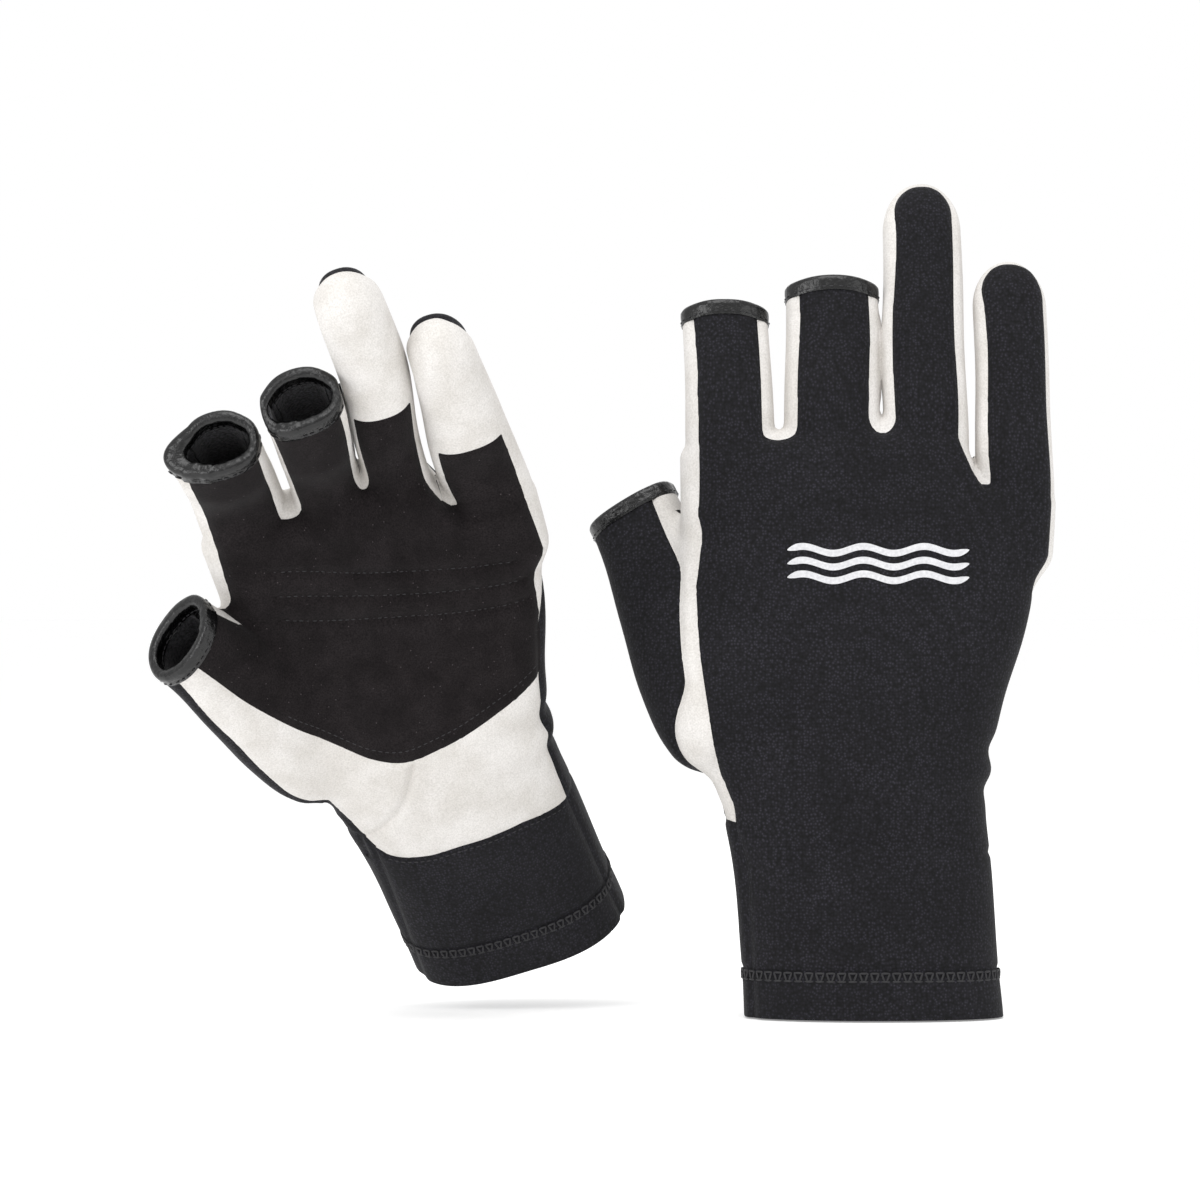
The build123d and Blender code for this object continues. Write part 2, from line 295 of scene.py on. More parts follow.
def wrap(field, low, high, step):
    """A closed mesh of triangles round the space where the field is negative."""
    count = np.ceil((high - low) / step).astype(int) + 1
    axes = [low[i] + step * np.arange(count[i]) for i in range(3)]
    value = field(*np.meshgrid(*axes, indexing="ij"))
    inside = value < 0
    cells = tuple(np.array(value.shape) - 1)
    total, crossings = np.zeros(cells + (3,)), np.zeros(cells, np.int8)
    for corner in ((0, 0, 0), (1, 0, 0), (0, 1, 0), (0, 0, 1), (1, 1, 0), (1, 0, 1), (0, 1, 1)):
        for k in range(3):
            if corner[k]:
                continue
            other = tuple(1 if j == k else corner[j] for j in range(3))
            a, b = (value[tuple(slice(o, o + n) for o, n in zip(c, cells))] for c in (corner, other))
            cross = (a < 0) != (b < 0)
            part = np.where(cross, a / np.where(cross, a - b, 1), 0)
            for j in range(3):
                total[..., j] += np.where(cross, corner[j] + (part if j == k else 0), 0)
            crossings += cross
    active = crossings > 0
    number = -np.ones(cells, int)
    number[active] = np.arange(active.sum())
    points = (np.stack(np.nonzero(active), 1) + total[active] / crossings[active][:, None]) * step + low
    faces = []
    for k in range(3):
        order = [k, (k + 1) % 3, (k + 2) % 3]
        signs, cell = np.transpose(inside, order), np.transpose(number, order)
        a, b = signs[:-1, 1:-1, 1:-1], signs[1:, 1:-1, 1:-1]
        for outward, mask in ((True, a & ~b), (False, ~a & b)):
            u, v, w = np.nonzero(mask)
            quad = np.stack([cell[u, v, w], cell[u, v + 1, w], cell[u, v + 1, w + 1], cell[u, v, w + 1]], 1)
            faces.append(quad if outward else quad[:, ::-1])
    quads = np.concatenate(faces)
    return points, np.concatenate([quads[:, [0, 1, 2]], quads[:, [0, 2, 3]]])


FINENESS = 1.15
SHELL_LOW, SHELL_HIGH = np.array([-92.0, -28, -8]), np.array([62.0, 36, 252])
skin, triangles = wrap(shell_field, SHELL_LOW, SHELL_HIGH, FINENESS)
for _ in range(3):  # each pass moves the points nearer to the true surface
    slope = slope_of(shell_field, skin)
    skin = skin - 0.9 * (shell_field(*skin.T) / np.maximum((slope**2).sum(1), 0.3))[:, None] * slope

# ---------------------------------------------------------------------------------------------
# The cutting pattern: where one panel's cloth meets the next. Each outline is a field over the
# shell, positive inside the panel, and the shell is cut along every outline's zero line.
# ---------------------------------------------------------------------------------------------
HEM = 14.0
SIDE_SEAM = 8.0
ULNAR_STRIP_FOOT = 108.0
RING_PATCH_TOP, LITTLE_PATCH_TOP = 198.0, 178.0
PATCH_FOOT = [
    (-95, 190), (-67.5, 143.8), (-58.7, 126.5), (-52.1, 117), (-44.6, 107), (-37.2, 98.9), (-27.8, 90.5),
    (-20, 86.6), (-13.7, 85.2), (4, 87.8), (19.5, 91.6), (37.8, 95.0), (60, 99),
]
BACK_EDGE = [
    (0, -36), (45, -38.2), (58.8, -42.6), (66.2, -44.7), (82.4, -48.2), (107.4, -51.8), (139.7, -53.7),
    (146, -62), (160, -90),
]
THUMB_BACK_EDGE = [
    (58, -44.0), (66, -48.0), (73.8, -51.6), (80.9, -53.4), (95.6, -55.6), (107.4, -57.1), (119.7, -57.7),
    (131.8, -57.2), (150, -64.5), (165, -70),
]
GUSSET_EDGE = [
    (58, -40), (60, -35.5), (61, -32.6), (66.4, -25.8), (71.7, -20.7), (79.6, -15.9), (85.1, -13.3),
    (92, -11.8),
]
HEEL_SEAM = [
    (-60, 58.5), (-44, 58), (-38, 56), (-35, 53.5), (-31.6, 51.2), (-26.5, 50.1), (-18, 49.6), (-7.6, 50.8),
    (13.8, 51.4), (30.6, 48.6), (42, 47.5),
]


def along_line(line, value):
    """The second figure of a seam's list at a given first one, eased between its points."""
    table = np.array(line, float)
    fine = np.linspace(table[0, 0], table[-1, 0], 160)
    eased = np.interp(fine, table[:, 0], table[:, 1])
    for _ in range(12):
        eased[1:-1] = (eased[:-2] + 2 * eased[1:-1] + eased[2:]) / 4
    return np.interp(value, fine, eased)


def depth_of_finger(x, z):
    deep = np.interp(z, finger_form["index"][:, 0], finger_form["index"][:, 3])
    for edge, name in ((INDEX_EDGE, "middle"), (MIDDLE_EDGE, "ring"), (RING_EDGE, "little")):
        deep = np.where(x > edge, np.interp(z, finger_form[name][:, 0], finger_form[name][:, 3]), deep)
    return deep


def seam_depth(x, z):
    crotch = np.where(x > RING_EDGE, LITTLE_KNUCKLE, KNUCKLES) - 12
    return SIDE_SEAM + (0.7 * depth_of_finger(x, z) - SIDE_SEAM) * ease((z - crotch) / 24)


def heel_line(x):
    return along_line(HEEL_SEAM, x)


def nearer_thumb(x, y, z):
    return hand_field(x, y, z) - thumb_field(x, y, z)


def mouth_outline(x, y, z):
    bow = 1.2 * np.cos(np.clip((x + 43.5) / 13, -1, 1) * math.pi / 2)
    index = np.minimum(z - (205.2 + bow - 0.16 * y), INDEX_EDGE - x)
    bow = 1.2 * np.cos(np.clip((x + 12) / 13.5, -1, 1) * math.pi / 2)
    middle = np.minimum(z - (212.4 + bow - 0.16 * y), np.minimum(x - INDEX_EDGE, MIDDLE_EDGE - x))
    thumb = np.minimum(in_thumb(x, y, z)[2] - THUMB_STALL, -57.5 - x)
    return np.maximum(np.maximum(index, middle), np.maximum(thumb, -z))


def back_outline(x, y, z):
    tip = np.where(x > RING_EDGE, 221.0, 245.0)
    closed = (x > MIDDLE_EDGE) * ease((z - (tip - 15)) / 14)
    front = seam_depth(x, z) * (1 - 0.6 * closed) * (1 - 0.45 * ease((x - 42) / 5))
    foot = ease((ULNAR_STRIP_FOOT + 26 - z) / 26) * ease((x - 20) / 12)
    front = front * (1 - foot) - SIDE_SEAM * foot
    return np.minimum(-front - y, x - along_line(BACK_EDGE, z))


def patch_outline(x, y, z):
    thumbness = nearer_thumb(x, y, z)
    a, b, _ = in_thumb(x, y, z)
    palm = np.minimum(y - seam_depth(x, z) + 0.8, 4 - thumbness)
    pad = np.minimum(b - 1.5, 4 + thumbness)
    tops = np.minimum(
        np.maximum(RING_PATCH_TOP - z, MIDDLE_EDGE - x), np.maximum(LITTLE_PATCH_TOP - z, RING_EDGE - x)
    )
    foot = z - along_line(PATCH_FOOT, x)
    return np.minimum(np.minimum(foot * 0.75, tops), np.maximum(palm, pad))


def thumb_back_outline(x, y, z):
    lean = 0.6 * y * ease((100 - z) / 20)
    _, b, c = in_thumb(x, y, z)
    palm_edge = 7.9 + 2.0 * ease((12 - c) / 25) + 5.0 * ease((-42 - c) / 20)
    main = np.minimum(along_line(THUMB_BACK_EDGE, z) + lean - x, palm_edge - b)
    tail = np.minimum(np.minimum((63.5 - z - 1.5 * (x + 41.5)) / 1.8, y - 0.5), 66 - z)
    tail = np.minimum(tail, np.maximum(-36.3 - x, z - heel_line(x)))
    return np.maximum(main, tail)


def thumb_stall_outline(x, y, z):
    return np.minimum(in_thumb(x, y, z)[2] - 4.0, nearer_thumb(x, y, z) + 1.0)


OUTLINES = {
    "mouth": mouth_outline,
    "back": back_outline,
    "patch": patch_outline,
    "thumb_back": thumb_back_outline,
    "thumb": thumb_stall_outline,
    "knuckle": lambda x, y, z: np.minimum(z - KNUCKLES, RING_EDGE - x),
    "little": lambda x, y, z: np.minimum(z - LITTLE_KNUCKLE, x - RING_EDGE),
    "hem": lambda x, y, z: HEM - z,
    "cuff": lambda x, y, z: heel_line(x) - z,
    "side": lambda x, y, z: np.abs(y) - np.where(np.abs(x) > 32, SIDE_SEAM, seam_depth(x, z)),
    "gusset": lambda x, y, z: np.minimum(along_line(GUSSET_EDGE, z) - x, y + 2),
}


SNAP = 0.12  # a corner this near a seam lies on it, so no sliver is cut


def cut(points, faces, marks, field):
    """Split every triangle that the field's zero line crosses, and mark each face's side of it."""
    value = field(*points.T)
    value[np.abs(value) < SNAP] = 0
    sign = np.sign(value).astype(int)
    corner = sign[faces]
    cyclic = [faces, np.roll(faces, -1, 1), np.roll(faces, -2, 1)]
    lone = [
        (sign[t[:, 0]] * sign[t[:, 1]] < 0) & (sign[t[:, 0]] * sign[t[:, 2]] < 0) for t in cyclic
    ]
    split = [(sign[t[:, 0]] == 0) & (sign[t[:, 1]] * sign[t[:, 2]] < 0) for t in cyclic]
    touched = lone[0] | lone[1] | lone[2] | split[0] | split[1] | split[2]
    whole = faces[~touched]
    new_faces, new_marks, new_side = [whole], [marks[~touched]], [corner[~touched].sum(1) > 0]
    crossed, edges = [], []
    for t, mask in zip(cyclic, lone):
        crossed.append((t[mask], marks[mask], True))
        edges += [t[mask][:, [0, 1]], t[mask][:, [0, 2]]]
    for t, mask in zip(cyclic, split):
        crossed.append((t[mask], marks[mask], False))
        edges.append(t[mask][:, [1, 2]])
    pairs = np.sort(np.concatenate(edges), 1)
    unique, index = np.unique(pairs, axis=0, return_inverse=True)
    index = index.ravel()
    va, vb = value[unique[:, 0]], value[unique[:, 1]]
    middle = points[unique[:, 0]] + (va / (va - vb))[:, None] * (points[unique[:, 1]] - points[unique[:, 0]])
    start = len(points)
    cursor = 0
    for t, mark, is_lone in crossed:
        n = len(t)
        p, q, r = t.T
        if is_lone:
            pq, pr = start + index[cursor : cursor + n], start + index[cursor + n : cursor + 2 * n]
            cursor += 2 * n
            parts = [np.stack([p, pq, pr], 1), np.stack([pq, q, r], 1), np.stack([pq, r, pr], 1)]
            sides = [sign[p] > 0, sign[p] < 0, sign[p] < 0]
        else:
            qr = start + index[cursor : cursor + n]
            cursor += n
            parts = [np.stack([p, q, qr], 1), np.stack([p, qr, r], 1)]
            sides = [sign[q] > 0, sign[r] > 0]
        new_faces += parts
        new_side += sides
        new_marks += [mark] * len(parts)
    side = np.concatenate(new_side)
    return (
        np.concatenate([points, middle]), np.concatenate(new_faces),
        np.column_stack([np.concatenate(new_marks), side]),
    )


marks = np.zeros((len(triangles), 0), bool)
for outline in OUTLINES.values():
    skin, triangles, marks = cut(skin, triangles, marks, outline)
inside = {name: marks[:, k] for k, name in enumerate(OUTLINES)}
middle_x, middle_y, middle_z = skin[triangles].mean(1).T

zone = np.full(len(triangles), "hand", dtype=object)
zone[inside["knuckle"] & (middle_x < INDEX_EDGE)] = "index"
zone[inside["knuckle"] & (middle_x > INDEX_EDGE) & (middle_x < MIDDLE_EDGE)] = "middle"
zone[inside["knuckle"] & (middle_x > MIDDLE_EDGE)] = "ring"
zone[inside["little"]] = "little"
zone[inside["thumb"]] = "thumb"

panel = np.array([place + "_sides" for place in zone], dtype=object)
on_hand = zone == "hand"
panel[on_hand & (middle_x < 0)] = "radial_strip"
panel[on_hand & (middle_x >= 0)] = "ulnar_strip"
panel[on_hand & (middle_z > 145) & (middle_x > -33) & (middle_x < 36)] = "crotch_gussets"
panel[on_hand & (middle_y > 0) & inside["side"] & ~inside["cuff"]] = "palm_panel"
by_thumb = ((middle_y > 2) | (middle_z > 95)) & (middle_z < 134)
panel[on_hand & ~inside["cuff"] & inside["gusset"] & by_thumb] = "thumb_gusset"
panel[on_hand & inside["cuff"]] = "cuff_front"
for finger in ("ring", "little"):
    panel[(zone == finger) & (middle_y > 0) & inside["side"]] = finger + "_tip"
panel[on_hand & inside["back"]] = "back_panel"
for finger in ("index", "middle", "ring", "little"):
    panel[(zone == finger) & inside["back"]] = finger + "_back"
panel[on_hand & inside["patch"]] = "palm_patch"
for finger, part in (
    ("index", "palm"), ("middle", "palm"), ("ring", "patch"), ("little", "patch"), ("thumb", "palm"),
):
    panel[(zone == finger) & inside["patch"]] = f"{finger}_{part}"
panel[on_hand & inside["thumb_back"]] = "thumb_heel"
panel[(zone == "thumb") & inside["thumb_back"]] = "thumb_back"
panel[inside["hem"]] = "hem"
panel[inside["mouth"]] = "open"

# ---------------------------------------------------------------------------------------------
# Sewn edges: thread pulls the cloth in along every seam and quilting row, so each lies in a
# shallow valley, and the black patch stands a little proud of the palm it is sewn to.
# ---------------------------------------------------------------------------------------------
SEAM_VALLEYS = [  # outline, depth and half width
    ("back", 0.8, 1.3), ("patch", 0.35, 0.9), ("thumb_back", 0.8, 1.2), ("cuff", 0.5, 1.0), ("hem", 0.5, 1.2),
    ("gusset", 1.2, 1.3),
]
QUILT_ROWS = [
    [(-40, 157.0), (-20, 152.6), (3.4, 147.2), (22, 141.8), (41, 135.7)],
    [(-40, 149.0), (-20, 144.7), (3.4, 139.4), (22, 134.2), (41, 128.3)],
    [(-40, 141.0), (-20, 136.8), (3.4, 131.7), (22, 126.8), (41, 121.2)],
]
QUILT_HALF_LENGTH = 41
QUILT_DEPTH, QUILT_WIDTH = 1.0, 1.3
PATCH_STANDS = 0.11
FAR = 100.0
NEAR = 0.4


def unit(vectors):
    return vectors / (np.linalg.norm(vectors, axis=1)[:, None] + 1e-9)


normals = unit(slope_of(shell_field, skin, NEAR))
valley = np.zeros(len(skin))
for name, depth, width in SEAM_VALLEYS:
    field = OUTLINES[name]
    steep = np.linalg.norm(slope_of(field, skin), axis=1)
    gap = np.abs(field(*skin.T)) / np.maximum(steep, 0.2)
    if name == "gusset":
        gap = gap + FAR * ((skin[:, 2] > 84.5) | (skin[:, 2] < 50) | (skin[:, 1] < 2))
    valley = np.maximum(valley, depth * np.exp(-((gap / width) ** 2)))
off_palm = (skin[:, 1] < 4) | (np.abs(skin[:, 0]) > QUILT_HALF_LENGTH)
for row in QUILT_ROWS:
    gap = np.abs(skin[:, 2] - along_line(row, skin[:, 0])) + FAR * off_palm
    valley = np.maximum(valley, QUILT_DEPTH * np.exp(-((gap / QUILT_WIDTH) ** 2)))
stands = np.zeros(len(skin))
stands[np.unique(triangles[panel == "palm_patch"])] = PATCH_STANDS
unsewn = skin
skin = unsewn + normals * (stands - valley)[:, None]

# ---------------------------------------------------------------------------------------------
# Placing a glove: the right one stands as cut; the left one is its mirror image, held narrower and
# deeper, lifted and leaning back. Fingers keep the slight curl of cloth that has been worn.
# ---------------------------------------------------------------------------------------------
HINGE_DEPTH = 11.8
CURL_LENGTH = 20.0
LITTLE_PIVOT = 157.0
THUMB_BEND = (5, 20)  # where along the thumb its cloth would start and end its turn; attach works these ends out but does not use them
SHARES = {"right": (1.0, 1.0), "left": (0.87, 1.08)}
CURLS = {
    "right": {"index": 8, "middle": 8, "ring": 8, "little": 8},
    "left": {"index": 26, "middle": 24, "ring": 10, "little": 11},
}
FINGER_MIDDLE = {"index": -42.2, "middle": -12.6, "ring": 15.4, "little": 41.6}
# how far a cupped hand draws the cloth sideways at the fingers' roots and at their ends
GATHER_ROOTS = [
    (-58, 0), (-52, 2.0), (-42, 3.0), (-27, 4.0), (-12, 1.4), (2, -1.4), (15, -3.4), (29, -6.0),
    (41, -3.2), (54, 0),
]
GATHER_ENDS = [
    (-58, 0), (-52, 6.8), (-30, 7.0), (-24, 4.0), (1, 3.8), (4, 1.2), (28, 1.0), (30, -1.8), (54, -1.8),
]

mount_of = {m["name"]: m for m in frame["record"]["mounts"]}
joint_of = {j["name"]: j for j in frame["record"]["behaviour"]["joints"]}


def placement(side):
    """Where the middle of a glove's cuff mouth is, and which ways are across, palmward and up."""
    mount = mount_of[side + "_cuff"]
    up = -np.array(mount["axis"], float)
    across = np.array(joint_of[side + "_index_curl"]["axis"], float)
    across *= -1 if side == "right" else 1
    palm = np.cross(up, across) * (1 if side == "right" else -1)
    return np.array(mount["pos_m"], float), np.stack([across, palm, up])


def bend(points, finger, degrees):
    """Curl a finger towards the palm over a short length past its knuckle."""
    root, pivot = (LITTLE_KNUCKLE, LITTLE_PIVOT) if finger == "little" else (KNUCKLES, KNUCKLES)
    angle = np.radians(degrees) * ease((points[:, 2] - root) / CURL_LENGTH)
    y, z = points[:, 1] - HINGE_DEPTH, points[:, 2] - pivot
    out = points.copy()
    out[:, 1] = HINGE_DEPTH + y * np.cos(angle) + z * np.sin(angle)
    out[:, 2] = pivot - y * np.sin(angle) + z * np.cos(angle)
    return out


def placed(points, side, finger=None):
    """A glove's points, from the pattern's millimetres to metres where the glove stands."""
    points = np.asarray(points, float).reshape(-1, 3).copy()
    if side == "left":
        x, z = points[:, 0].copy(), points[:, 2]
        roots, ends = (np.interp(x, *np.array(line, float).T) for line in (GATHER_ROOTS, GATHER_ENDS))
        further = ease((z - 168) / 45)
        points[:, 0] += (roots * (1 - further) + ends * further) * ease((z - 125) / 42)
    if finger in CURLS[side]:
        points = bend(points, finger, CURLS[side][finger])
    origin, axes = placement(side)
    shares = np.array([*SHARES[side], 1.0])
    return origin + (points * shares * MM) @ axes


def mesh_object(name, points, faces, materials, face_slots=None, cloth=None):
    mesh = bpy.data.meshes.new(name)
    mesh.from_pydata([tuple(p) for p in points], [], [tuple(int(i) for i in f) for f in faces])
    for material in materials:
        mesh.materials.append(material)
    if face_slots is not None:
        mesh.polygons.foreach_set("material_index", np.asarray(face_slots, np.int32))
    if cloth is not None:
        attribute = mesh.attributes.new("cloth", "FLOAT_VECTOR", "POINT")
        attribute.data.foreach_set("vector", np.asarray(cloth, np.float32).ravel())
    mesh.update()
    item = bpy.data.objects.new(name, mesh)
    bpy.context.collection.objects.link(item)
    return item


def select_only(item):
    bpy.ops.object.select_all(action="DESELECT")
    item.select_set(True)
    bpy.context.view_layer.objects.active = item


def attach(piece, side, finger):
    """Hand pieces follow the hand; a finger piece is only baked where it stands and follows no body, and the
    ends of its turn past the knuckle are worked out but not used.
    """
    body = f"{side}_{finger}"
    if finger == "hand":
        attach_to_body(piece, body)
        return
    if finger == "thumb":
        ends = [thumb_hinge + thumb_along * length for length in THUMB_BEND]
    else:
        root = LITTLE_KNUCKLE if finger == "little" else KNUCKLES
        ends = [np.array([FINGER_MIDDLE[finger], 0, root + past]) for past in (0, CURL_LENGTH)]
    start, end = placed(ends, side, finger)
    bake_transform(piece)


# ---------------------------------------------------------------------------------------------
# Neoprene panels: 2.4 mm foam faced with black knitted nylon. The knit shows as fine rows of
# pale loops over blue-black, matt with a soft sheen at grazing angles; the inside is grey plush.
# ---------------------------------------------------------------------------------------------
KNIT_ROW = 0.9  # the real rows are 0.6 mm apart, drawn coarser so that they show
KNIT_FADING = 20.0  # patches where the dye is paler
RELIEF = 0.0003

knit = new_material("neoprene_knit_nylon")
where = add(knit, "ShaderNodeAttribute", attribute_name="cloth").outputs["Vector"]
loops = add(
    knit, "ShaderNodeTexVoronoi", {"Vector": where}, Scale=1 / KNIT_ROW, Randomness=0.75,
)
patchy = add(knit, "ShaderNodeTexNoise", {"Vector": where}, Scale=1 / KNIT_FADING, Detail=3.0)
tone = add(
    knit, "ShaderNodeValToRGB", {"Fac": loops.outputs["Distance"]},
    [(0.0, "#37363f"), (0.35, "#1a191e"), (0.8, "#08080a")],
)
shade = add(
    knit, "ShaderNodeValToRGB", {"Fac": patchy.outputs["Fac"]}, [(0.3, "#c8c8cc"), (0.7, "#ffffff")],
)
dyed = add(
    knit, "ShaderNodeMix", {6: tone.outputs["Color"], 7: shade.outputs["Color"]},
    data_type="RGBA", blend_type="MULTIPLY", Factor=1.0,
)
relief = add(
    knit, "ShaderNodeBump", {"Height": loops.outputs["Distance"]},
    Strength=0.35, Distance=RELIEF, invert=True,
)
knitted = add(
    knit, "ShaderNodeBsdfPrincipled", {"Base Color": dyed.outputs[2], "Normal": relief.outputs[0]},
    **{"Roughness": 0.85, "Sheen Weight": 0.03, "Sheen Roughness": 0.5, "Specular IOR Level": 0.25},
)
add(knit, "ShaderNodeOutputMaterial", {"Surface": knitted.outputs[0]})

# ---------------------------------------------------------------------------------------------
# White suede: microfibre cloth sueded on its face, for the heel, the sides and the fingertips.
# Off-white and warm, with a short nap that mottles slightly and never shines.
# ---------------------------------------------------------------------------------------------
NAP = 0.5  # clumps of nap
MOTTLE = 0.09  # per mm: patches about 11 mm across

white_suede = new_material("white_suede_nap")
where = add(white_suede, "ShaderNodeAttribute", attribute_name="cloth").outputs["Vector"]
clumps = add(white_suede, "ShaderNodeTexNoise", {"Vector": where}, Scale=1 / NAP, Detail=4.0)
mottle = add(white_suede, "ShaderNodeTexNoise", {"Vector": where}, Scale=MOTTLE, Detail=4.0)
tone = add(
    white_suede, "ShaderNodeValToRGB", {"Fac": clumps.outputs["Fac"]}, [(0.3, "#cdcac6"), (0.65, "#e1dedb")],
)
shade = add(
    white_suede, "ShaderNodeValToRGB", {"Fac": mottle.outputs["Fac"]}, [(0.35, "#f1f0ee"), (0.65, "#ffffff")],
)
dyed = add(
    white_suede, "ShaderNodeMix", {6: tone.outputs["Color"], 7: shade.outputs["Color"]},
    data_type="RGBA", blend_type="MULTIPLY", Factor=1.0,
)
relief = add(
    white_suede, "ShaderNodeBump", {"Height": clumps.outputs["Fac"]}, Strength=0.35, Distance=RELIEF,
)
brushed = add(
    white_suede, "ShaderNodeBsdfPrincipled", {"Base Color": dyed.outputs[2], "Normal": relief.outputs[0]},
    **{"Roughness": 0.9, "Sheen Weight": 0.05, "Specular IOR Level": 0.2},
)
add(white_suede, "ShaderNodeOutputMaterial", {"Surface": brushed.outputs[0]})

# ---------------------------------------------------------------------------------------------
# Black suede: the same cloth dyed black, sewn over the palm and the fingers' grip sides. A little
# brown, quite matt, and specked with the pale lint that its nap picks up.
# ---------------------------------------------------------------------------------------------
LINT_SPACING = 2.6
LINT_SIZE = (0.05, 0.085)  # a speck's core and edge, as shares of the spacing
DARK_MOTTLE = 0.12  # per mm: patches about 8 mm across

black_suede = new_material("black_suede_nap")
where = add(black_suede, "ShaderNodeAttribute", attribute_name="cloth").outputs["Vector"]
clumps = add(black_suede, "ShaderNodeTexNoise", {"Vector": where}, Scale=1 / NAP, Detail=5.0)
mottle = add(black_suede, "ShaderNodeTexNoise", {"Vector": where}, Scale=DARK_MOTTLE, Detail=5.0)
lint = add(black_suede, "ShaderNodeTexVoronoi", {"Vector": where}, Scale=1 / LINT_SPACING)
tone = add(
    black_suede, "ShaderNodeValToRGB", {"Fac": clumps.outputs["Fac"]}, [(0.3, "#110e0f"), (0.7, "#252122")],
)
shade = add(
    black_suede, "ShaderNodeValToRGB", {"Fac": mottle.outputs["Fac"]}, [(0.35, "#c9c6c6"), (0.65, "#ffffff")],
)
speck = add(
    black_suede, "ShaderNodeValToRGB", {"Fac": lint.outputs["Distance"]},
    [(LINT_SIZE[0], "#ffffff"), (LINT_SIZE[1], "#000000")],
)
dyed = add(
    black_suede, "ShaderNodeMix", {6: tone.outputs["Color"], 7: shade.outputs["Color"]},
    data_type="RGBA", blend_type="MULTIPLY", Factor=1.0,
)
dusty = add(
    black_suede, "ShaderNodeMix", {0: speck.outputs["Color"], 6: dyed.outputs[2]},
    data_type="RGBA", blend_type="MIX",
)
dusty.inputs[7].default_value = linear("#4a4446")
relief = add(
    black_suede, "ShaderNodeBump", {"Height": clumps.outputs["Fac"]}, Strength=0.4, Distance=RELIEF,
)
brushed = add(
    black_suede, "ShaderNodeBsdfPrincipled", {"Base Color": dusty.outputs[2], "Normal": relief.outputs[0]},
    **{"Roughness": 0.95, "Sheen Weight": 0.03, "Specular IOR Level": 0.15},
)
add(black_suede, "ShaderNodeOutputMaterial", {"Surface": brushed.outputs[0]})

# ---------------------------------------------------------------------------------------------
# Lining: short plush glued inside every panel and seen in the open mouths, a dull dark grey whose
# deep tufts catch a little light.
# ---------------------------------------------------------------------------------------------
PLUSH = 1.1
TUFT_DEPTH = 0.0008

lining = new_material("plush_lining")
where = add(lining, "ShaderNodeAttribute", attribute_name="cloth").outputs["Vector"]
tufts = add(lining, "ShaderNodeTexNoise", {"Vector": where}, Scale=1 / PLUSH, Detail=4.0)
tone = add(
    lining, "ShaderNodeValToRGB", {"Fac": tufts.outputs["Fac"]}, [(0.35, "#131315"), (0.65, "#3a393d")],
)
relief = add(lining, "ShaderNodeBump", {"Height": tufts.outputs["Fac"]}, Strength=0.8, Distance=TUFT_DEPTH)
plush = add(
    lining, "ShaderNodeBsdfPrincipled", {"Base Color": tone.outputs[0], "Normal": relief.outputs[0]},
    **{"Roughness": 1.0, "Sheen Weight": 0.1},
)
add(lining, "ShaderNodeOutputMaterial", {"Surface": plush.outputs[0]})

# ---------------------------------------------------------------------------------------------
# The panels themselves: cut from the shell, each given its wall inwards and its lining.
# ---------------------------------------------------------------------------------------------
PANELS = {
    "back_panel": ("hand", knit), "cuff_front": ("hand", knit), "hem": ("hand", knit),
    "thumb_heel": ("hand", knit), "palm_panel": ("hand", white_suede), "radial_strip": ("hand", white_suede),
    "ulnar_strip": ("hand", white_suede), "thumb_gusset": ("hand", white_suede),
    "crotch_gussets": ("hand", white_suede), "palm_patch": ("hand", black_suede),
}
for finger in ("thumb", "index", "middle", "ring", "little"):
    closed = finger in ("ring", "little")
    PANELS[finger + "_back"] = (finger, knit)
    PANELS[finger + ("_patch" if closed else "_palm")] = (finger, black_suede)
    PANELS[finger + "_sides"] = (finger, white_suede)
    if closed:
        PANELS[finger + "_tip"] = (finger, white_suede)
WALL = 2.3
CREASE_ANGLE = math.radians(50)
MOST_FILLED = 0.98  # of the rectangle that a panel is cut from
LEAST_FILLED = 0.301
NODE_OF = {"thumb_heel": "thumb_gusset"}


def area_of(points, faces):
    a, b, c = (points[faces[:, k]] for k in range(3))
    return 0.5 * np.linalg.norm(np.cross(b - a, c - a), axis=1).sum()


def extent_of(points):
    """Breadth and length of a panel on its own flattest plane."""
    centred = points - points.mean(0)
    _, _, axes = np.linalg.svd(centred[:: max(1, len(points) // 2000)], full_matrices=False)
    spans = np.ptp(centred @ axes.T, axis=0)
    return float(spans[1]), float(spans[0])


for side in ("right", "left"):
    for name, (finger, cloth_material) in PANELS.items():
        chosen = triangles[panel == name]
        used, local = np.unique(chosen, return_inverse=True)
        local = local.reshape(chosen.shape)
        if side == "left":
            local = local[:, ::-1]
        points = placed(skin[used], side, finger)
        piece = mesh_object(f"{side}_{name}", points, local, [cloth_material, lining], cloth=unsewn[used])
        area = area_of(points, local)
        width, length = extent_of(points)
        select_only(piece)
        solid = piece.modifiers.new("wall", "SOLIDIFY")
        solid.thickness = WALL * MM
        solid.offset = -1
        solid.material_offset = 1
        solid.material_offset_rim = 1
        bpy.ops.object.modifier_apply(modifier="wall")
        bpy.ops.object.shade_smooth_by_angle(angle=CREASE_ANGLE)
        attach(piece, side, finger)
        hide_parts(f"{side}_{NODE_OF.get(name, name)}")
        grow = math.sqrt(max(1.0, area / MOST_FILLED / (width * length)))
        width, length = width * grow, length * grow
        area = max(area, LEAST_FILLED * width * length)

